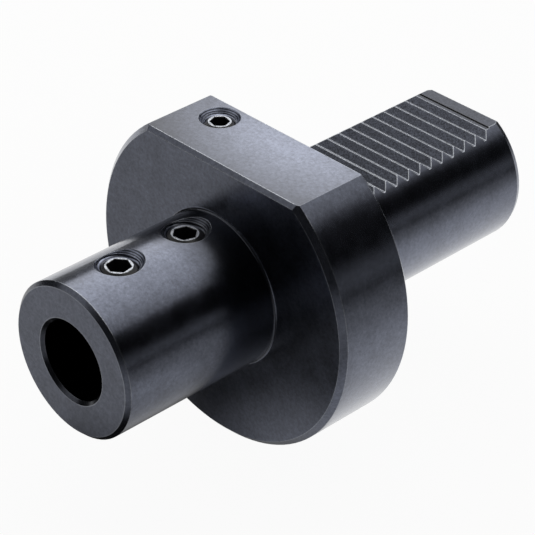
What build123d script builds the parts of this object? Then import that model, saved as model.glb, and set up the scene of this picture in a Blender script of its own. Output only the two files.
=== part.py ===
from build123d import *
from build123d.topology import SkipClean
from math import cos, radians, sin, tan
import os

# Static tool holder with a toothed cylindrical shank, for drills with a round shank.
# Millimetres. +Y runs along the shank into the turret, the nose points to -Y, and the
# milled flat, the toothing and the screws are on top, +Z. The origin is on the axis, in
# the flange's back face, which is the face that seats on the turret.

# Shank
shank_dia = 40.0
shank_length = 63.0
plain_root_length = 9.5
lead_in_length = 1.3
lead_in_depth = 0.5
centre_hole_dia = 4.0
centre_hole_depth = 9.0
centre_mouth_dia = 8.5
centre_angle = 60.0

# Toothing on top of the shank: the flank that faces the nose is the loaded one
tooth_pitch = 4.0
tooth_depth = 1.5
crest_height = 16.1
crest_land = 0.4
loaded_flank_angle = 40.0
flank_reference = 29.7
crests_before_reference = 4
crests_after_reference = 7
last_crest_land = 1.3
end_land_rise = 0.2
end_land_break = 0.3

# Flange
flange_dia = 83.0
flange_thickness = 22.0
flange_front_chamfer = 1.4
flange_back_chamfer = 1.0
flat_height = 33.0
flat_front_chamfer = 1.0
flat_back_chamfer = 0.8

# Nose and tool bore
nose_dia = 39.0
nose_length = 45.0
nose_chamfer = 1.0
nose_root_fillet = 0.7
bore_dia = 20.0
bore_chamfer = 0.8
bore_depth = 70.0
drill_point_angle = 118.0

# Clamp screws: hex-socket set screws in the top of the nose, just to the left of its top line
clamp_thread_dia = 10.0
clamp_hex = 5.0
clamp_hex_depth = 4.0
clamp_back_off = 0.2
clamp_sink = 1.3
clamp_x = -1.2
clamp_point_dia = 7.0
clamp_point_taper = 0.9
clamp_land_dia = 6.6
clamp_land_taper = 1.2
clamp_mouth_dia = 12.4
front_hex_turn = 39.0
rear_hex_turn = 11.0
front_screw_offset = 15.9
clamp_spacing = 20.0
thread_clearance = 0.05

# Coolant: inlet in the back face, feed to the bore, and a plugged outlet in the flat
inlet_dia = 7.0
inlet_x = -15.8
inlet_height = 23.5
inlet_depth = 10.4
feed_dia = 4.0
feed_break_y = -15.0
feed_break_angle = 120.0
feed_overrun = 3.0
plug_thread_dia = 8.0
plug_hex = 4.0
plug_hex_depth = 2.4
plug_length = 4.5
plug_sink = 1.0
plug_land_dia = 6.0
plug_taper = 0.7
plug_hex_turn = 47.0
plug_mouth_dia = 10.1
plug_setback = 6.6
plug_pilot_dia = 4.0

# Seal ring in the flange's back face, on a seat turned just under the shank's size
seal_section = 2.6
seal_sides = 12
seal_seat_step = 0.3
seal_groove_play = 0.4
seal_gap = 0.02

# Worked-out sizes and places
shank_r = shank_dia / 2
flange_r = flange_dia / 2
nose_r = nose_dia / 2
bore_r = bore_dia / 2
clamp_r = clamp_thread_dia / 2
plug_r = plug_thread_dia / 2
flange_front = -flange_thickness
nose_front = flange_front - nose_length
bore_end = nose_front + bore_depth
drill_point_length = bore_r / tan(radians(drill_point_angle / 2))
root_height = crest_height - tooth_depth
end_land_height = crest_height + end_land_rise
front_screw_y = nose_front + front_screw_offset
rear_screw_y = front_screw_y + clamp_spacing
clamp_top = nose_r - clamp_sink
clamp_bottom = bore_r + clamp_back_off
plug_y = -plug_setback
plug_top = flat_height - plug_sink
plug_bottom = plug_top - plug_length
seal_r = seal_section / 2
seal_seat_r = shank_r - seal_seat_step
seal_centre_r = seal_seat_r + seal_gap + seal_r
groove_r = seal_seat_r + seal_section + seal_groove_play
groove_depth = seal_section + seal_gap
past = 1.0


def toothing_cut():
    """Outline of what the cutter takes off the top of the shank, as (along, height) points.

    Each tooth space runs down the steep back of one crest, along the narrow root and up
    the loaded flank to the next crest. The flanks meet at a right angle.
    """
    back_angle = 90.0 - loaded_flank_angle
    flank_run = tooth_depth / tan(radians(loaded_flank_angle))
    back_run = tooth_depth / tan(radians(back_angle))
    above = shank_r + past
    first_edge = flank_reference - crests_before_reference * tooth_pitch
    root_land = tooth_pitch - crest_land - flank_run - back_run
    first_root = first_edge - flank_run - root_land
    run_out = (above - root_height) / tan(radians(back_angle))
    points = [(first_root - run_out, above), (first_root, root_height)]
    for step in range(-crests_before_reference, crests_after_reference + 1):
        edge = flank_reference + step * tooth_pitch
        points.append((edge - flank_run, root_height))
        points.append((edge, crest_height))
        if step < crests_after_reference:
            points.append((edge + crest_land, crest_height))
            points.append((edge + crest_land + back_run, root_height))
    land_start = edge + last_crest_land
    points.append((land_start, crest_height))
    points.append((land_start, end_land_height))
    points.append((shank_length - end_land_break, end_land_height))
    points.append((shank_length + past, end_land_height - end_land_break - past))
    points.append((shank_length + past, above))
    return points


def flat_cut():
    """Outline of what is milled off the flange above its flat, with both edges broken."""
    above = flange_r + past
    return [
        (flange_front - past, flat_height - flat_front_chamfer - past),
        (flange_front + flat_front_chamfer, flat_height),
        (-flat_back_chamfer, flat_height),
        (past, flat_height - flat_back_chamfer - past),
        (past, above),
        (flange_front - past, above),
    ]


def mill_across(points, half_width):
    """Cuts a closed (along, height) outline right across the part, in the open builder."""
    with BuildSketch(Plane.YZ) as outline:
        with BuildLine():
            Polyline(*points, close=True)
        make_face()
    extrude(outline.sketch, amount=half_width, both=True, mode=Mode.SUBTRACT)


def turn(points, mode=Mode.ADD):
    """Revolves a closed (along, radius) outline about the holder's axis."""
    with BuildSketch(Plane.YZ) as outline:
        with BuildLine():
            Polyline(*points, close=True)
        make_face()
    revolve(outline.sketch, axis=Axis.Y, mode=mode)


def upright(x, y, points, mode=Mode.ADD):
    """Revolves a closed (radius, height) outline about a vertical axis through x, y."""
    with BuildSketch(Plane.XZ.offset(-y)) as outline:
        with BuildLine():
            Polyline(*[(x + r, z) for r, z in points], close=True)
        make_face()
    revolve(outline.sketch, axis=Axis((x, y, 0), (0, 0, 1)), mode=mode)


def headless_screw(x, y, top, bottom, outline):
    """A headless screw standing upright, turned from a (radius, height) outline of its side."""
    upright(x, y, [(0, bottom)] + outline + [(0, top)])


def hex_socket(x, y, top, across_flats, depth, turned):
    """A hexagon socket sunk from a screw's top, with one corner turned from +X by an angle."""
    with BuildSketch(Plane.XY.offset(top)) as socket:
        with Locations((x, y)):
            RegularPolygon(across_flats / 2, 6, major_radius=False, rotation=turned)
    extrude(socket.sketch, amount=-depth, mode=Mode.SUBTRACT)


def clamp_screw(y, hex_turn):
    """A clamp screw at its place along the nose, with a flat point and a raised top land."""
    headless_screw(clamp_x, y, clamp_top, clamp_bottom, [
        (clamp_point_dia / 2, clamp_bottom),
        (clamp_r, clamp_bottom + clamp_point_taper),
        (clamp_r, clamp_top - clamp_land_taper),
        (clamp_land_dia / 2, clamp_top),
    ])
    hex_socket(clamp_x, y, clamp_top, clamp_hex, clamp_hex_depth, hex_turn)


def screw_hole(x, y, surface, radius, mouth_dia, floor):
    """A tapped hole from the surface down to its floor, with a 90 degree countersink."""
    sink = mouth_dia / 2 - radius
    upright(x, y, [
        (0, floor),
        (radius, floor),
        (radius, surface - sink),
        (radius + sink + past, surface + past),
        (0, surface + past),
    ], mode=Mode.SUBTRACT)


# Holder body: one turned blank, then milled, bored and drilled
with BuildPart() as holder_body:
    # Nose, flange and the plain root of the shank
    turn([
        (nose_front, 0),
        (nose_front, nose_r - nose_chamfer),
        (nose_front + nose_chamfer, nose_r),
        (flange_front, nose_r),
        (flange_front, flange_r - flange_front_chamfer),
        (flange_front + flange_front_chamfer, flange_r),
        (-flange_back_chamfer, flange_r),
        (0, flange_r - flange_back_chamfer),
        (0, groove_r),
        (-groove_depth, groove_r),
        (-groove_depth, seal_seat_r),
        (0, seal_seat_r),
        (0, shank_r),
        (plain_root_length, shank_r),
        (plain_root_length, 0),
    ])
    nose_root = holder_body.edges().filter_by(GeomType.CIRCLE).filter_by(
        lambda edge: abs(edge.center().Y - flange_front) < 0.01 and abs(edge.radius - nose_r) < 0.01
    )
    fillet(nose_root, radius=nose_root_fillet)

    mill_across(flat_cut(), flange_r)

    # Tapped holes for the two clamp screws, from the nose's top into the bore
    for screw_y in (front_screw_y, rear_screw_y):
        screw_hole(clamp_x, screw_y, nose_r, clamp_r + thread_clearance, clamp_mouth_dia, 0)

    # Coolant inlet from the back face
    with BuildSketch(Plane.XZ):
        with Locations((inlet_x, inlet_height)):
            Circle(inlet_dia / 2)
    extrude(amount=inlet_depth, mode=Mode.SUBTRACT)

    # Slanted feed from the inlet's mouth into the wall of the bore
    feed_start = Vector(inlet_x, 0, inlet_height)
    feed_break = Vector(
        bore_r * cos(radians(feed_break_angle)), feed_break_y, bore_r * sin(radians(feed_break_angle))
    )
    feed_run = feed_break - feed_start
    with BuildSketch(Plane(origin=feed_start, z_dir=feed_run)):
        Circle(feed_dia / 2)
    extrude(amount=feed_run.length + feed_overrun, mode=Mode.SUBTRACT)

    # Plugged outlet in the flat, straight down into the inlet
    screw_hole(inlet_x, plug_y, flat_height, plug_r + thread_clearance, plug_mouth_dia, plug_bottom)
    with BuildSketch(Plane.XY.offset(inlet_height)):
        with Locations((inlet_x, plug_y)):
            Circle(plug_pilot_dia / 2)
    extrude(amount=plug_bottom - inlet_height + past, mode=Mode.SUBTRACT)

    # Toothed stretch of the shank, with the centre hole that turning and grinding leave in
    # its end, and the tool bore. The stretch's wall is open on top, so it stays a face apart
    # from the plain root's full round.
    with SkipClean():
        centre_cone_length = (centre_mouth_dia - centre_hole_dia) / 2 / tan(radians(centre_angle / 2))
        turn([
            (plain_root_length, 0),
            (plain_root_length, shank_r),
            (shank_length - lead_in_length, shank_r),
            (shank_length, shank_r - lead_in_depth),
            (shank_length, centre_mouth_dia / 2),
            (shank_length - centre_cone_length, centre_hole_dia / 2),
            (shank_length - centre_hole_depth, centre_hole_dia / 2),
            (shank_length - centre_hole_depth - centre_hole_dia / 4, 0),
        ])
        mill_across(toothing_cut(), shank_r + past)
        turn([
            (nose_front - past, 0),
            (nose_front - past, bore_r + bore_chamfer + past),
            (nose_front + bore_chamfer, bore_r),
            (bore_end, bore_r),
            (bore_end + drill_point_length, 0),
        ], mode=Mode.SUBTRACT)

# Clamp screws, one shape at two places
with BuildPart() as clamp_screw_front:
    clamp_screw(front_screw_y, front_hex_turn)

with BuildPart() as clamp_screw_rear:
    clamp_screw(rear_screw_y, rear_hex_turn)

# Plug that closes the outlet in the flat
with BuildPart() as coolant_plug:
    headless_screw(inlet_x, plug_y, plug_top, plug_bottom, [
        (plug_land_dia / 2, plug_bottom),
        (plug_r, plug_bottom + plug_taper),
        (plug_r, plug_top - plug_taper),
        (plug_land_dia / 2, plug_top),
    ])
    hex_socket(inlet_x, plug_y, plug_top, plug_hex, plug_hex_depth, plug_hex_turn)

# Seal ring lying in the groove about the shank's root, its round section drawn with flats
with BuildPart() as flange_seal:
    with BuildSketch(Plane.YZ):
        with Locations((-seal_r, seal_centre_r)):
            RegularPolygon(seal_r, seal_sides, major_radius=False, rotation=180 / seal_sides)
    revolve(axis=Axis.Y)

holder_body.part.label = "holder_body"
clamp_screw_front.part.label = "clamp_screw_front"
clamp_screw_rear.part.label = "clamp_screw_rear"
coolant_plug.part.label = "coolant_plug"
flange_seal.part.label = "flange_seal"

os.makedirs("parts", exist_ok=True)
export_step(holder_body.part, "parts/holder_body.step")
export_step(clamp_screw_front.part, "parts/clamp_screw_front.step")
export_step(clamp_screw_rear.part, "parts/clamp_screw_rear.step")
export_step(coolant_plug.part, "parts/coolant_plug.step")
export_step(flange_seal.part, "parts/flange_seal.step")
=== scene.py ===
# %% [markdown]
# # A blackened tool holder with a toothed shank
#
# The holder carries a drill in a lathe's turret. Its body is one piece of turned and milled
# steel, blackened all over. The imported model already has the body's real shape, so this lesson
# makes what the camera sees beyond it: real threads, a rubber ring, the black finish, and the
# light of a small studio.

import bmesh
import bpy
import numpy as np
from mathutils import Matrix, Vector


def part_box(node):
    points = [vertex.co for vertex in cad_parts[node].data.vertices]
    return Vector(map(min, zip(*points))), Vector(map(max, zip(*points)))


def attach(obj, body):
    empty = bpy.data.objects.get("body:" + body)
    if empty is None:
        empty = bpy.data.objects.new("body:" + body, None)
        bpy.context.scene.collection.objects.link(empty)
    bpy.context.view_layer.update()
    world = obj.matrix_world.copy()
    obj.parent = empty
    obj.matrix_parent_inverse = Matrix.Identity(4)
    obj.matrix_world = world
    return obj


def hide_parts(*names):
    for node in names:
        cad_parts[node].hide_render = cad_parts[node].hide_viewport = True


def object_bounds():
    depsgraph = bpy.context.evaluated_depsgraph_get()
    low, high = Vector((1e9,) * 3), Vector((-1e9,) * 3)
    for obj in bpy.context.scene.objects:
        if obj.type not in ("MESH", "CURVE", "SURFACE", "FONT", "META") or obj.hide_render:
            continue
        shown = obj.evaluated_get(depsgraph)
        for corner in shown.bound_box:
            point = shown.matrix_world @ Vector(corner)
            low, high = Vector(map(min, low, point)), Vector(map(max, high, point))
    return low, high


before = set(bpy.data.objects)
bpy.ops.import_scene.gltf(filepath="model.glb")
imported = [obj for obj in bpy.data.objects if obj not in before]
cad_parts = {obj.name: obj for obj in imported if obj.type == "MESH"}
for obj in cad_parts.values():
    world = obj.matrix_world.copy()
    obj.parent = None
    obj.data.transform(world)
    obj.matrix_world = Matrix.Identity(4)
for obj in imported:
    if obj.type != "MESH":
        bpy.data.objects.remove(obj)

cad_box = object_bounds()
millimetre = 0.001
scene = bpy.context.scene
scene.view_settings.view_transform = "Standard"
print("nodes", sorted(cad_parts))
print("box in mm", [round(c / millimetre, 1) for corner in cad_box for c in corner])

# %% [markdown]
# ## Where the camera stands
#
# The holder was photographed from the front right, a third of the way up, with a long lens.
# A camera is easiest to repeat from the angles that a photographer would note down: how far it
# is turned round the holder, how high it looks from, a slight roll, and the distance. Its three
# directions follow from those angles, so no constraint or target is needed.

# %% Camera
turned_round, looking_down, roll = np.radians([45.652, 33.185, 0.733])
distance = 578.94 * millimetre
aim_to_the_left, aim_below = 4.14 * millimetre, 3.80 * millimetre
focal_length = 162.13

back = np.array([np.sin(turned_round) * np.cos(looking_down),
                 -np.cos(turned_round) * np.cos(looking_down),
                 np.sin(looking_down)])
level_right = np.array([np.cos(turned_round), np.sin(turned_round), 0.0])
level_up = np.cross(back, level_right)
right = np.cos(roll) * level_right + np.sin(roll) * level_up
up = np.cross(back, right)
stand = distance * back - aim_to_the_left * right - aim_below * up

placed = np.eye(4)
placed[:3, :3] = np.column_stack([right, up, back])
placed[:3, 3] = stand
camera = bpy.data.objects.new("camera", bpy.data.cameras.new("camera"))
camera.data.lens = focal_length
camera.data.sensor_width = 36.0
camera.data.clip_start, camera.data.clip_end = 0.01, 50.0
camera.matrix_world = Matrix(placed.tolist())
scene.collection.objects.link(camera)
scene.camera = camera
print("camera at", np.round(stand / millimetre, 1), "mm")

# %% [markdown]
# ## Surfaces from two parameters
#
# Every new piece here is round, so one helper is enough. A shape is a whole array of points:
# one direction goes round the axis, the other goes along the profile. The helper joins
# neighbouring points with four-cornered faces. A profile that begins and ends on the axis
# closes the shape, and a ring is closed by joining its last row to its first.

# %% Mesh from a grid of points
def surface(name, grid, ring):
    """Makes a mesh from grid[row, column, xyz]. Columns run round and always close on
    themselves. Rows close too if ring is true, and otherwise the first and last rows are each
    drawn together in one pole."""
    rows, columns = grid.shape[:2]
    points = grid.reshape(-1, 3)
    index = np.arange(rows * columns).reshape(rows, columns)
    if not ring:
        index = index[1:-1]
    below = index if ring else index[:-1]
    above = np.roll(index, -1, axis=0) if ring else index[1:]
    quads = np.stack([below, np.roll(below, -1, axis=1), np.roll(above, -1, axis=1), above], axis=-1)
    faces = quads.reshape(-1, 4).tolist()
    if not ring:
        first, last = 0, rows * columns - 1
        bottom, top = index[0], index[-1]
        faces += np.stack([np.full(columns, first), np.roll(bottom, -1), bottom], axis=-1).tolist()
        faces += np.stack([np.full(columns, last), top, np.roll(top, -1)], axis=-1).tolist()
    mesh = bpy.data.meshes.new(name)
    mesh.from_pydata(points.tolist(), [], faces)
    mesh.update()
    mesh.validate()
    return mesh


def finish_piece(name, grid, material, ring=False, smooth_below=32.0):
    """Puts a surface in the scene at the origin, without the spare points of its poles, and
    with edges sharp where faces turn by more than an angle in degrees."""
    mesh = surface(name, grid, ring)
    work = bmesh.new()
    work.from_mesh(mesh)
    loose = [v for v in work.verts if not v.link_faces]
    bmesh.ops.delete(work, geom=loose, context="VERTS")
    bmesh.ops.recalc_face_normals(work, faces=work.faces)
    work.to_mesh(mesh)
    volume = work.calc_volume()
    work.free()
    mesh.shade_smooth()
    mesh.set_sharp_from_angle(angle=np.radians(smooth_below))
    mesh.materials.append(material)
    piece = bpy.data.objects.new(name, mesh)
    scene.collection.objects.link(piece)
    print(name, len(mesh.polygons), "faces,", round(volume / millimetre**3, 1), "mm3")
    return piece

# %% [markdown]
# ## Where things are on the body
#
# Turning, milling and thread cutting each leave marks of their own, so the finish has to know
# which part of the body it is on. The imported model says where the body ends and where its
# screws stand. The other measures are those that the body is turned and milled to. All are in
# millimetres from the shank's axis and the flange's back face.

# %% Places on the body
def axis_of(node):
    """Where an upright screw stands: the middle of its box, to a tenth of a millimetre."""
    low, high = np.array(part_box(node)) / millimetre
    return tuple(np.round((low + high) / 2, 1)[:2].tolist())


front_screw_at = axis_of("clamp_screw_front")
rear_screw_at = axis_of("clamp_screw_rear")
plug_at = axis_of("coolant_plug")
nose_front = round(cad_box[0][1] / millimetre, 1)
shank_end = round(cad_box[1][1] / millimetre, 1)
flat_height = round(cad_box[1][2] / millimetre, 1)
flange_front = -22.0
nose_radius, shank_radius = 19.5, 20.0
teeth_start, teeth_floor, end_land_start = 6.6, 14.2, 58.9
print("screws at", front_screw_at, rear_screw_at, "plug at", plug_at)
print("body from", nose_front, "to", shank_end, "with its flat at", flat_height)

# %% [markdown]
# ## Arithmetic with shader nodes
#
# A finish that depends on the place is a sum of small steps. Written out node by node it is
# hard to read, so a few helpers do the arithmetic. Many of the values are masks, which are 1
# on one part of the body and 0 on the rest.

# %% Shader helpers
def add(tree, kind, settings=None, **inputs):
    """Adds a shader node, sets its properties, and fills or links its inputs. An input is
    called by its name, or by an i and its number."""
    made = tree.nodes.new("ShaderNode" + kind)
    for key, value in (settings or {}).items():
        setattr(made, key, value)
    for key, value in inputs.items():
        by_number = key[0] == "i" and key[1:].isdigit()
        socket = made.inputs[int(key[1:]) if by_number else key.replace("_", " ")]
        if isinstance(value, bpy.types.NodeSocket):
            tree.links.new(value, socket)
        else:
            socket.default_value = value
    return made


def number(tree, operation, first, second=0.0, third=0.0):
    """One step of arithmetic on shader values."""
    return add(tree, "Math", {"operation": operation}, i0=first, i1=second, i2=third).outputs[0]


def times(tree, first, *others):
    """The product of shader values. Of masks, it is where all of them are 1."""
    for other in others:
        first = number(tree, "MULTIPLY", first, other)
    return first


def most(tree, first, *others):
    """The largest of shader values. Of masks, it is where any of them is 1."""
    for other in others:
        first = number(tree, "MAXIMUM", first, other)
    return first


def toned(tree, shade, mask, change):
    """A shade, multiplied by 1 plus the change where the mask is 1."""
    return times(tree, shade, number(tree, "MULTIPLY_ADD", mask, change, 1.0))


def hypotenuse(tree, first, second):
    """The root of the sum of two squares."""
    return number(tree, "SQRT", number(tree, "MULTIPLY_ADD", first, first, times(tree, second, second)))


def ramp(tree, value, low, high, to_low=0.0, to_high=1.0):
    """Maps a value from one range to another and holds it at both ends."""
    return add(tree, "MapRange", {"clamp": True}, Value=value, i1=low, i2=high, i3=to_low,
               i4=to_high).outputs[0]


def noise(tree, place, scale, detail=2.0, roughness=0.5):
    """Cloudy noise with so many lumps to the metre."""
    return add(tree, "TexNoise", {"noise_dimensions": "3D"}, Vector=place, Scale=scale, Detail=detail,
               Roughness=roughness).outputs["Fac"]


def stripes(tree, along, per_metre):
    """Uneven parallel lines: noise that changes in one direction only."""
    return add(tree, "TexNoise", {"noise_dimensions": "1D"}, W=along, Scale=per_metre, Detail=3.0,
               Roughness=0.65).outputs["Fac"]

# %% Lengths in millimetres
def ramp_at(tree, length, low, high, to_low=0.0, to_high=1.0):
    """A ramp along a length, between two places in millimetres."""
    return ramp(tree, length, low * millimetre, high * millimetre, to_low, to_high)


def over(tree, length, limit):
    """1 where a length is over a limit in millimetres."""
    return number(tree, "GREATER_THAN", length, limit * millimetre)


def under(tree, length, limit):
    """1 where a length is under a limit in millimetres."""
    return number(tree, "LESS_THAN", length, limit * millimetre)


def off_from(tree, length, level):
    """How far a length lies from a level in millimetres, on either side."""
    return number(tree, "ABSOLUTE", number(tree, "SUBTRACT", length, level * millimetre))


def from_axis_at(tree, x, y, at):
    """Distance from an upright axis, given by its place in millimetres."""
    return hypotenuse(tree, off_from(tree, x, at[0]), off_from(tree, y, at[1]))

# %% [markdown]
# ## Parts of the body
#
# The body is one solid with one material, as the real one is one piece of steel in one bath.
# What differs from part to part is how the cutter or the drill left it, and how much light
# reaches it. So each part gets a mask, worked out from the place alone.

# %% Masks
skin = 0.03
screw_mouth, screw_mouth_floor = 6.4, 16.5
plug_mouth, plug_mouth_floor = 6.2, 31.0
bore_rim, bore_end = 11.6, 20.0
flat_end, flat_end_height = 23.8, 31.5
# Where the painted shade at the nose's root begins, and where it is darkest.
root_shade_fades_from, root_shade_darkest_at = -41.0, -30.0


def body_parts(tree, x, y, z):
    """Masks by name, from limits on the place. A point counts as on a face when it is within
    the skin of it, and as in a hole's mouth when it is near the hole's axis and deeper."""
    from_axis = hypotenuse(tree, x, z)
    on = {"flat": over(tree, z, flat_height - skin),
          "front_face": under(tree, off_from(tree, y, flange_front), skin),
          "nose_face": under(tree, off_from(tree, y, nose_front), skin),
          "near_bore": under(tree, from_axis, bore_rim),
          "flat_ends": times(tree, over(tree, off_from(tree, x, 0.0), flat_end),
                             over(tree, z, flat_end_height))}
    # Painted shade inside the bore, which darkens its colour.
    on["bore"] = times(tree, on["near_bore"], over(tree, y, nose_front + skin),
                       under(tree, y, bore_end))
    on["teeth"] = times(tree, under(tree, from_axis, shank_radius - skin), over(tree, z, teeth_floor),
                        over(tree, y, teeth_start), under(tree, y, shank_end - skin))
    # Painted shadow line in the groove where the end land steps up. The same mask keeps the oxide on that
    # step.
    on["land_step"] = times(tree, on["teeth"], ramp_at(tree, off_from(tree, y, end_land_start), 0.4, 0.2))
    # Painted shade: the nose grows darker towards its root at the flange.
    on["nose_root"] = times(tree, ramp_at(tree, y, root_shade_fades_from, root_shade_darkest_at),
                            under(tree, y, flange_front + 0.4), under(tree, from_axis, nose_radius + 0.3))
    to_screw = number(tree, "MINIMUM", from_axis_at(tree, x, y, front_screw_at),
                      from_axis_at(tree, x, y, rear_screw_at))
    on["near_screw"] = under(tree, to_screw, screw_mouth)
    on["near_plug"] = under(tree, from_axis_at(tree, x, y, plug_at), plug_mouth)
    in_nose = times(tree, on["near_screw"], under(tree, from_axis, nose_radius - skin),
                    over(tree, z, screw_mouth_floor))
    in_flat = times(tree, on["near_plug"], over(tree, z, plug_mouth_floor),
                    number(tree, "SUBTRACT", 1.0, on["flat"]))
    on["mouth"] = most(tree, in_nose, in_flat)
    return on

# %% [markdown]
# ## Black oxide on steel
#
# Blackened steel is a thin dark oxide layer on metal. It hardly scatters any light, so it has
# no colour of its own: what is seen is a dim, slightly blue mirror of the room. A metallic
# shader with a dark base does just that, and a thin clear coat stands for the oil on it. Its
# life comes from fine marks: soft clouds and grain in the oxide, rings from the lathe, lines
# from the milling cutter, and bare steel where the oxide has rubbed off the edges.

# %% Marks in the oxide
oxide_colour = (0.143, 0.157, 0.206)
worn_colour = (0.78, 0.82, 0.90)


def oxide_marks(tree, place):
    """The oxide's clouds and grain, and the shade that both give it."""
    cloud = noise(tree, place, 170.0, 4.0, 0.6)
    grain = noise(tree, place, 1100.0, 5.0, 0.8)
    shade = times(tree, ramp(tree, cloud, 0.3, 0.7, 0.86, 1.14), ramp(tree, grain, 0.3, 0.7, 0.66, 1.34))
    return cloud, grain, shade


def turning_rings(tree, x, y, z):
    """Lines of equal y plus distance from the shank's axis. On a cylinder that gives rings
    along it, and on an end face rings around it."""
    return stripes(tree, number(tree, "ADD", y, hypotenuse(tree, x, z)), 4200.0)


def worn_edges(tree, grain):
    """Finds edges by rounding them: near an edge the rounded direction turns away from the
    face's own, so their dot product falls under 1. Edges that face up are worn most."""
    rounded = add(tree, "Bevel", {"samples": 8}, Radius=0.42 * millimetre).outputs[0]
    face = add(tree, "NewGeometry").outputs["Normal"]
    facing = add(tree, "VectorMath", {"operation": "DOT_PRODUCT"}, i0=rounded, i1=face).outputs["Value"]
    upwards = add(tree, "SeparateXYZ", i0=rounded).outputs[2]
    wear = times(tree, ramp(tree, facing, 0.993, 0.94), ramp(tree, grain, 0.35, 0.6, 0.6, 1.0),
                 ramp(tree, upwards, 0.35, 0.7, 0.4, 1.0))
    return wear, facing


def dress_steel(tree, shader, colour, shade, wear, rough, relief):
    """Links the finish: the oxide's colour times its shade, bare steel where it is worn, and a
    relief of a hundredth of a millimetre over slightly rounded edges."""
    grey = add(tree, "CombineXYZ", i0=shade, i1=shade, i2=shade).outputs[0]
    oxide = add(tree, "MixRGB", {"blend_type": "MULTIPLY"}, i0=1.0, i1=(*colour, 1.0), i2=grey).outputs[0]
    tint = add(tree, "MixRGB", {}, i0=wear, i1=oxide, i2=(*worn_colour, 1.0)).outputs[0]
    rounded = add(tree, "Bevel", {"samples": 6}, Radius=0.15 * millimetre).outputs[0]
    bump = add(tree, "Bump", {}, Strength=0.4, Distance=0.012 * millimetre, Height=relief,
               Normal=rounded).outputs[0]
    tree.links.new(tint, shader.inputs["Base Color"])
    tree.links.new(rough, shader.inputs["Roughness"])
    tree.links.new(bump, shader.inputs["Normal"])


def new_material(name):
    """A node material with its principled shader, its object coordinates, and those split."""
    material = bpy.data.materials.new(name)
    material.use_nodes = True
    tree = material.node_tree
    place = add(tree, "TexCoord").outputs["Object"]
    split = add(tree, "SeparateXYZ", i0=place).outputs
    return material, tree, tree.nodes["Principled BSDF"], place, split

# %% [markdown]
# ## Finish of the body
#
# The milled flat has a painted reflection: lighter towards its back edge, darker to its ends.
# The teeth are rough and torn by the cutter, with a painted shadow line where the end land
# steps up. The mouths of the screw holes show the drill's rings. Painted shade makes the nose
# darkest at its root and the bore darker than the outside. Each of these is one mask and one
# change of the oxide's shade. Edges in holes and at the flat's ends keep most of their oxide,
# and the nose's face has thin worn rims.

# %% Body steel
drill_feed = 0.42


def painted_flat_reflection(tree, x, y, on_flat):
    """A painted reflection: lighter from the front of the flat to its back, and darker to both
    sides of its middle.
    """
    to_back = ramp_at(tree, y, -21.0, -6.0, 0.58, 1.42)
    to_side = ramp_at(tree, off_from(tree, x, 4.0), 8.0, 28.0, 1.0, 0.56)
    return add(tree, "Mix", {"data_type": "FLOAT"}, i0=on_flat, i2=1.0,
               i3=times(tree, to_back, to_side)).outputs[0]


def body_steel():
    """Blackened steel, turned, milled and drilled. The drill's rings are a sine of the height,
    with one wave for each step of its feed."""
    material, tree, shader, place, (x, y, z) = new_material("blackened_body")
    on = body_parts(tree, x, y, z)
    cloud, grain, shade = oxide_marks(tree, place)
    wear, facing = worn_edges(tree, grain)

    feed_angle = times(tree, z, 2 * np.pi / (drill_feed * millimetre))
    drilled = times(tree, number(tree, "SINE", feed_angle), on["mouth"])
    torn = times(tree, ramp(tree, noise(tree, place, 2600.0, 2.0, 0.6), 0.35, 0.65, -0.5, 0.5), on["teeth"],
                 ramp_at(tree, y, 59.2, 58.8, 0.3, 1.0))
    # The flat's painted reflection.
    shade = times(tree, shade, painted_flat_reflection(tree, x, y, on["flat"]))
    # Painted shade: the land step's line, the nose's root and the bore are darkened in the colour.
    for mask, change in [(on["teeth"], -0.45), (torn, 1.0), (on["land_step"], -0.8), (on["mouth"], 0.7),
                         (drilled, 0.8), (on["nose_root"], -0.7), (on["bore"], -0.55)]:
        shade = toned(tree, shade, mask, change)

    holes = most(tree, on["near_bore"], on["near_screw"], on["near_plug"])
    sheltered = times(tree, most(tree, holes, on["flat_ends"]), 0.75)
    wear = times(tree, wear, number(tree, "SUBTRACT", 1.0, most(tree, on["land_step"], sheltered)))
    face_rims = times(tree, on["nose_face"], ramp(tree, facing, 0.996, 0.97, 0.0, 0.42))
    wear = most(tree, wear, face_rims)

    rougher = number(tree, "ADD", on["teeth"], on["mouth"])
    rougher = number(tree, "MULTIPLY_ADD", on["front_face"], 0.6, rougher)
    rough = number(tree, "MULTIPLY_ADD", rougher, 0.14, ramp(tree, cloud, 0.3, 0.7, 0.19, 0.26))

    turned = number(tree, "SUBTRACT", 1.0, most(tree, on["flat"], on["teeth"]))
    cutter = stripes(tree, number(tree, "MULTIPLY_ADD", z, 1.4, y), 9000.0)
    lines = number(tree, "ADD", times(tree, turning_rings(tree, x, y, z), turned),
                   times(tree, cutter, on["teeth"]))
    relief = number(tree, "ADD", times(tree, lines, 0.6), times(tree, grain, 0.4))
    relief = number(tree, "MULTIPLY_ADD", drilled, 1.6, relief)

    dress_steel(tree, shader, oxide_colour, shade, wear, rough, relief)
    shader.inputs["Metallic"].default_value = 1.0
    shader.inputs["Coat Weight"].default_value = 0.5
    shader.inputs["Coat Roughness"].default_value = 0.2
    shader.inputs["Coat IOR"].default_value = 1.5
    return material


body_finish = body_steel()
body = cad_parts["holder_body"]
body.data.materials.clear()
body.data.materials.append(body_finish)
print("body wears", body_finish.name, "of", len(body_finish.node_tree.nodes), "nodes")

# %% [markdown]
# ## Finish of the screws
#
# Set screws are hardened and blackened to a deep, dull black. Only the land, the flat ring
# round the socket, is worn down to specks of bare steel, because the key slips over it. The
# land is where the face's own direction points straight up, so the socket's walls stay black.
# A dull black that isn't metallic shows none of the room, and the bare specks are metallic.

# %% Screw steel
screw_black = (0.012, 0.012, 0.014)


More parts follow.
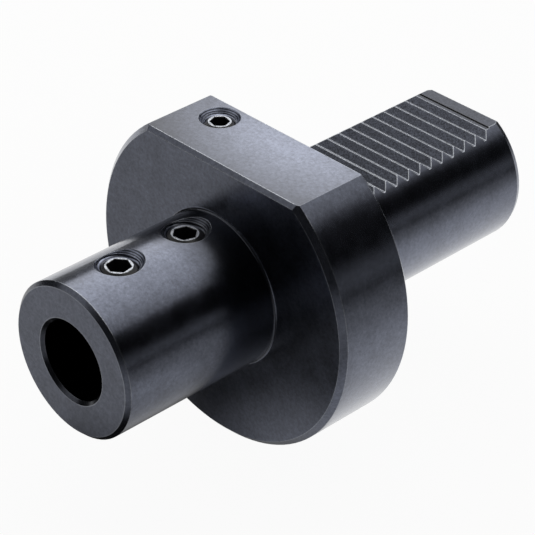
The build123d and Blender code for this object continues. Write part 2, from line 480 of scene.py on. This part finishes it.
def screw_steel():
    """Dull black, with a land of rubbed metal."""
    material, tree, shader, place, (x, y, z) = new_material("blackened_screws")
    cloud, grain, shade = oxide_marks(tree, place)
    speck = noise(tree, place, 4200.0, 2.0, 0.5)
    level = add(tree, "SeparateXYZ", i0=add(tree, "NewGeometry").outputs["True Normal"]).outputs[2]
    land = times(tree, ramp(tree, level, 0.985, 0.995), ramp(tree, speck, 0.4, 0.58, 0.25, 0.9))
    rough = number(tree, "MULTIPLY_ADD", land, 0.15, ramp(tree, cloud, 0.3, 0.7, 0.31, 0.38))
    relief = number(tree, "ADD", times(tree, turning_rings(tree, x, y, z), 0.6), times(tree, grain, 0.4))
    dress_steel(tree, shader, screw_black, shade, land, rough, relief)
    tree.links.new(ramp(tree, land, 0.0, 0.2), shader.inputs["Metallic"])
    return material


screw_finish = screw_steel()
print("screws wear", screw_finish.name, "of", len(screw_finish.node_tree.nodes), "nodes")

# %% [markdown]
# ## Threaded screws
#
# The two clamp screws and the plug are headless screws with a hexagon socket. A thread is a
# groove that drops by one pitch for each turn, so the radius depends on the height plus the
# angle. The socket's six walls are also a radius that depends on the angle. So one grid of
# points, from the screw's foot up its side, over its land and down into the socket, makes the
# whole closed screw.

# %% Thread and hexagon
columns = 96
rows_per_turn = 14


def round_the_axis():
    """The angles of the columns."""
    return np.linspace(0, 2 * np.pi, columns, endpoint=False)


def thread_wave(height, angle, pitch):
    """Height of a trapezoid thread, between 0 in its root and 1 on its crest. The number of
    turns is the height over the pitch, less the angle over a full turn. Across each turn the
    wave goes up one flank and down the other as a triangle, cut flat at the root and crest."""
    root, crest = 1 / 8, 1 / 4
    turns = height[:, None] / pitch - angle[None, :] / (2 * np.pi)
    from_crest = np.abs((turns % 1.0) - 0.5) * 2.0
    return np.clip((1.0 - root - from_crest) / (1.0 - root - crest), 0.0, 1.0)


def hexagon(angle, across_flats, corner):
    """Distance from the middle to a hexagon's wall: half the width over flats, divided by the
    cosine of the angle to that wall's middle."""
    to_middle = (angle - corner) % (np.pi / 3) - np.pi / 6
    return across_flats / 2 / np.cos(to_middle)


def stood_at(x, y, radii, heights, angle):
    """Points at so much radius and height round an upright axis, in metres."""
    return np.stack([x + radii * np.cos(angle), y + radii * np.sin(angle),
                     np.broadcast_to(heights[:, None], radii.shape)], axis=-1) * millimetre


def headless_screw(x, y, corner, top, length, radius, pitch, point, taper, land, land_taper, width, depth):
    """A screw standing on the axis through x, y. Each row has a radius for every angle: the
    thread, held under the foot's taper and the land's taper, then the hexagon inside, which
    ends in a shallow cone. The socket has a small lip."""
    thread_depth, lip, land_edge = 0.61 * pitch, 0.16, 0.12
    angle = round_the_axis() + corner
    bottom = top - length
    rise = np.linspace(bottom, top - land_taper, int(rows_per_turn * (length - land_taper) / pitch))
    crown = np.linspace(top - land_taper, top, 10)[1:]
    height = np.concatenate([rise, crown])
    thread = radius - (1.0 - thread_wave(height, angle, pitch)) * thread_depth
    foot = point + (height - bottom) / taper * (radius - point)
    cone = land + (top - height) / land_taper * (radius - land)
    side = np.minimum(thread, np.minimum(foot, cone)[:, None])
    socket = hexagon(angle, width, corner)
    inner = [np.full(columns, land - land_edge), socket + lip, socket, socket, socket * 0.96]
    inner_height = [top, top, top - lip, top - depth, top - depth]
    cone_tip = top - depth - width / 2 * 0.35
    radii = np.vstack([np.zeros(columns), side, *inner, np.zeros(columns)])
    heights = np.concatenate([[bottom], height, inner_height, [cone_tip]])
    return stood_at(x, y, radii, heights, angle)


one_turn = thread_wave(np.arange(8) / 8, np.zeros(1), 1.0)
print("a thread in eighths of a turn", one_turn.ravel().round(2).tolist())

# %% Screws and plug
screw_sink, plug_sink = 1.3, 1.0
front_turn, rear_turn, plug_turn = np.radians([39, 11, 47])
screw = dict(top=nose_radius - screw_sink, length=8.0, radius=5.0, pitch=1.5, point=3.5, taper=0.9,
             land=3.3, land_taper=1.2, width=5.0, depth=4.0)
plug = dict(top=flat_height - plug_sink, length=4.5, radius=4.0, pitch=1.0, point=3.0, taper=0.7,
            land=2.8, land_taper=0.8, width=4.0, depth=2.4)

front_screw = finish_piece("front_screw_threaded", headless_screw(*front_screw_at, front_turn, **screw),
                           screw_finish)
rear_screw = finish_piece("rear_screw_threaded", headless_screw(*rear_screw_at, rear_turn, **screw),
                          screw_finish)
outlet_plug = finish_piece("outlet_plug_threaded", headless_screw(*plug_at, plug_turn, **plug),
                           screw_finish)
for piece, node, ride_on in [(front_screw, "clamp_screw_front", "front_screw"),
                             (rear_screw, "clamp_screw_rear", "rear_screw"),
                             (outlet_plug, "coolant_plug", "holder")]:
    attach(piece, ride_on)
    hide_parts(node)

# %% [markdown]
# ## Threads in the holes
#
# Above each screw a few turns of the hole's own thread show. They are a thin sleeve with its
# back buried in the wall, and its front follows the same wave as the screw, set outwards by a
# little play. The screws travel by whole turns, so the threads mesh at both ends of the travel.

# %% Hole threads
def hole_thread(x, y, corner, low, high, radius, pitch, mouth):
    """A sleeve from a low to a high height. Its inner radius is the screw's thread plus the
    play, kept near the wall and opened to a 45 degree cone at the mouth. Its outer radius lies
    behind the wall."""
    thread_depth, play, wall, cone_start, widest, behind = 0.54 * pitch, 0.07, 0.04, 0.05, 0.2, 0.35
    angle = round_the_axis() + corner
    height = np.linspace(low, high, int(rows_per_turn * (high - low) / pitch))
    front = radius + play - (1.0 - thread_wave(height, angle, pitch)) * thread_depth
    front = np.minimum(front, radius + wall)
    cone = radius + cone_start - (mouth - height)
    front = np.minimum(np.maximum(front, cone[:, None]), radius + widest)
    radii = np.vstack([front, np.full((2, columns), radius + behind)])
    heights = np.concatenate([height, [high, low]])
    return stood_at(x, y, radii, heights, angle)


nose_hole = dict(low=10.6, high=18.3, radius=5.0, pitch=1.5, mouth=18.35)
flat_hole = dict(low=28.2, high=31.9, radius=4.0, pitch=1.0, mouth=31.95)
for name, at, turn, hole in [("front_hole_thread", front_screw_at, front_turn, nose_hole),
                             ("rear_hole_thread", rear_screw_at, rear_turn, nose_hole),
                             ("outlet_hole_thread", plug_at, plug_turn, flat_hole)]:
    sleeve = finish_piece(name, hole_thread(*at, turn, **hole), body_finish, ring=True)
    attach(sleeve, "holder")

# %% [markdown]
# ## Rubber ring
#
# The ring in the back face is soft black rubber with a round section. It lies a hair under its
# groove's mouth, so it is a ring of circles about the shank's axis, and a faint band of mould
# flash runs round its middle.

# %% Ring and rubber
def rubber():
    """Dull black rubber with a fine powdery grain."""
    material, tree, shader, place, _ = new_material("seal_rubber")
    dust = noise(tree, place, 900.0, 5.0, 0.7)
    fine = noise(tree, place, 5200.0, 2.0, 0.5)
    colour = add(tree, "MixRGB", {}, i0=ramp(tree, dust, 0.45, 0.8), i1=(0.012, 0.012, 0.013, 1.0),
                 i2=(0.035, 0.035, 0.037, 1.0)).outputs[0]
    bump = add(tree, "Bump", {}, Strength=0.4, Distance=0.02 * millimetre, Height=fine).outputs[0]
    tree.links.new(colour, shader.inputs["Base Color"])
    tree.links.new(ramp(tree, dust, 0.3, 0.7, 0.5, 0.66), shader.inputs["Roughness"])
    tree.links.new(bump, shader.inputs["Normal"])
    return material


def seal_ring(section, middle_radius, middle_y, around=192, about=40):
    """A torus about the y axis: the centre circle's radius plus the section's radius times the
    cosine goes outwards, and the section's radius times the sine goes along y. The flash makes
    the section a hundredth wider where the cosine is nearly 1 or -1."""
    round_axis = np.linspace(0, 2 * np.pi, around, endpoint=False)
    round_section = np.linspace(0, 2 * np.pi, about, endpoint=False)
    flash = 1.0 + 0.012 * (np.abs(np.cos(round_section)) > 0.985)
    out = middle_radius + section / 2 * flash * np.cos(round_section)
    along = middle_y + section / 2 * np.sin(round_section)
    return np.stack([out[:, None] * np.cos(round_axis), np.broadcast_to(along[:, None], (about, around)),
                     out[:, None] * np.sin(round_axis)], axis=-1) * millimetre


ring_grid = seal_ring(section=2.58, middle_radius=21.02, middle_y=-1.31)
ring_piece = finish_piece("seal_ring", ring_grid, rubber(), ring=True, smooth_below=60.0)
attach(ring_piece, "holder")
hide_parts("flange_seal")

# %% [markdown]
# ## The paper under the holder
#
# Black metal shows nothing but its surroundings, so the studio is shaped for the reflections.
# The holder lies over pale paper. The camera sees it as plain white with a soft shadow. In the
# metal only some of it shines, as painted light: the paper behind the holder, a patch in front of
# the flange and a strip before the nose, which brighten the undersides. Under the nose a painted
# shadow dims it. Light Path tells the shader which kind of ray is looking.

# %% Floor
floor_height, floor_reach = -44.0, 4000.0


def board(name, left, right, front, back, height, faces_up):
    """A level rectangle between places in millimetres, which faces up or down."""
    corners = np.array([(left, front, height), (right, front, height),
                        (right, back, height), (left, back, height)]) * millimetre
    mesh = bpy.data.meshes.new(name)
    mesh.from_pydata(corners.tolist(), [], [(0, 1, 2, 3) if faces_up else (0, 3, 2, 1)])
    made = bpy.data.objects.new(name, mesh)
    scene.collection.objects.link(made)
    return made


def bare_material(name):
    """A material with nothing in it, and its object coordinates split in three."""
    material = bpy.data.materials.new(name)
    material.use_nodes = True
    tree = material.node_tree
    tree.nodes.clear()
    split = add(tree, "SeparateXYZ", i0=add(tree, "TexCoord").outputs["Object"])
    return material, tree, split.outputs


def painted_light_on_paper(tree, x, y):
    """Where painted light on the paper shines in the metal, from 0 to 1, cut off behind the
    holder at a painted shadow edge.
    """
    shadow_edge = most(tree, number(tree, "MULTIPLY_ADD", x, 0.5, -22.0 * millimetre), -6.0 * millimetre)
    behind = times(tree, ramp_at(tree, x, 30.0, 150.0, 1.0, 0.0),
                   ramp_at(tree, number(tree, "SUBTRACT", y, shadow_edge), -4.0, 4.0))
    slanted = number(tree, "MULTIPLY_ADD", x, -0.3, y)
    before = times(tree, ramp_at(tree, x, -12.0, 12.0, 0.0, 0.48), ramp_at(tree, y, -55.0, -45.0),
                   ramp_at(tree, slanted, -18.0, -33.0), ramp_at(tree, x, 80.0, 160.0, 1.0, 0.2))
    before_nose = ramp_at(tree, y, -88.0, -100.0, 0.0, 0.14)
    return most(tree, behind, before, before_nose)


def floor_paper():
    """White for the camera, matt for light, and partly shining with painted light for reflections."""
    material, tree, (x, y, z) = bare_material("floor_paper")
    rays = add(tree, "LightPath").outputs
    mirrored = times(tree, rays["Is Glossy Ray"], painted_light_on_paper(tree, x, y))
    seen = most(tree, rays["Is Camera Ray"], rays["Is Transmission Ray"], mirrored)
    # Painted shadow under the nose, seen only in the metal's reflections.
    painted_shadow_under_nose = times(tree, ramp_at(tree, x, -34.0, -18.0), ramp_at(tree, x, 75.0, 50.0),
                       ramp_at(tree, y, -98.0, -82.0), ramp_at(tree, y, -22.0, -34.0))
    grey = number(tree, "MULTIPLY_ADD", times(tree, painted_shadow_under_nose, rays["Is Glossy Ray"]), -0.75, 0.8)
    matt = add(tree, "BsdfDiffuse", Color=add(tree, "CombineXYZ", i0=grey, i1=grey, i2=grey).outputs[0])
    white = add(tree, "Emission", Color=(1.0, 1.0, 1.0, 1.0), Strength=1.0)
    mixed = add(tree, "MixShader", i0=times(tree, seen, 0.95), i1=matt.outputs[0], i2=white.outputs[0])
    add(tree, "OutputMaterial", Surface=mixed.outputs[0])
    return material


floor = board("floor", -floor_reach, floor_reach, -floor_reach, floor_reach, floor_height, faces_up=True)
floor.data.materials.append(floor_paper())
print("paper lies", -floor_height, "mm under the shank's axis")

# %% [markdown]
# ## The light over it
#
# One wide, soft panel hangs over the holder and a little to the left. It paints the flat and
# the tops of the round parts. It is brightest at the left and weak in front, and a lamp behind
# the cloth makes one soft hot spot. Between the panel's edge and the paper the room stays
# dark, and that gives the deep black bands.

# %% Panel light
panel_left, panel_right, panel_front, panel_back, panel_height = -630.0, 290.0, -600.0, 650.0, 330.0
lamp_at, lamp_spread, lamp_glow = (-325.0, 315.0), 45.0, 0.6


def panel_cloth():
    """Glowing cloth: ramps over its place, plus a lamp whose glow falls off as a bell curve of
    the distance. Its back is black."""
    material, tree, (x, y, z) = bare_material("panel_cloth")
    front = ramp_at(tree, x, -200.0, 0.0, 0.27, 0.05)
    glow = times(tree, ramp_at(tree, x, -150.0, 100.0, 1.62, 1.05), ramp_at(tree, x, 80.0, 290.0, 1.0, 0.35),
                 most(tree, front, ramp_at(tree, y, -150.0, 20.0)), ramp_at(tree, y, 330.0, 460.0, 1.0, 0.6))
    off = from_axis_at(tree, x, y, lamp_at)
    bell = number(tree, "EXPONENT", times(tree, off, off, -0.5 / (lamp_spread * millimetre)**2))
    glow = number(tree, "MULTIPLY_ADD", bell, lamp_glow, glow)
    shine = add(tree, "Emission", Color=(1.0, 0.99, 0.965, 1.0), Strength=glow).outputs[0]
    dark = add(tree, "BsdfDiffuse", Color=(0.02, 0.02, 0.02, 1.0)).outputs[0]
    back_side = add(tree, "NewGeometry").outputs["Backfacing"]
    add(tree, "OutputMaterial", Surface=add(tree, "MixShader", i0=back_side, i1=shine, i2=dark).outputs[0])
    return material


panel = board("panel", panel_left, panel_right, panel_front, panel_back, panel_height, faces_up=False)
panel.visible_camera = False
panel.data.materials.append(panel_cloth())
print("panel of", panel_right - panel_left, "by", panel_back - panel_front, "mm")

# %% [markdown]
# ## The room around it
#
# The room is nearly black, a little lighter in front. Two pale walls, low at the left and the
# right behind the holder, give the thin light lines on its sides. The camera sees plain white.

# %% Room
def room_light():
    """A world whose strength depends on the direction of view."""
    room = bpy.data.worlds.new("room")
    room.use_nodes = True
    tree = room.node_tree
    tree.nodes.clear()
    x, y, z = add(tree, "SeparateXYZ", i0=add(tree, "TexCoord").outputs["Generated"]).outputs
    gloom = ramp(tree, y, -0.1, 0.4, 0.03, 0.006)
    left_wall = times(tree, ramp(tree, x, -0.45, -0.65), ramp(tree, z, 0.33, 0.22, 0.0, 0.18))
    right_wall = times(tree, ramp(tree, x, 0.5, 0.7), ramp(tree, z, 0.24, 0.12, 0.0, 0.2))
    walls = times(tree, number(tree, "ADD", left_wall, right_wall), ramp(tree, y, 0.3, 0.5))
    to_camera = add(tree, "LightPath").outputs["Is Camera Ray"]
    strength = add(tree, "Mix", {"data_type": "FLOAT"}, i0=to_camera, i2=number(tree, "ADD", gloom, walls),
                   i3=1.0).outputs[0]
    sky = add(tree, "Background", Color=(1.0, 1.0, 1.0, 1.0), Strength=strength).outputs[0]
    add(tree, "OutputWorld", Surface=sky)
    return room


scene.world = room_light()
print("world", scene.world.name, "of", len(scene.world.node_tree.nodes), "nodes")
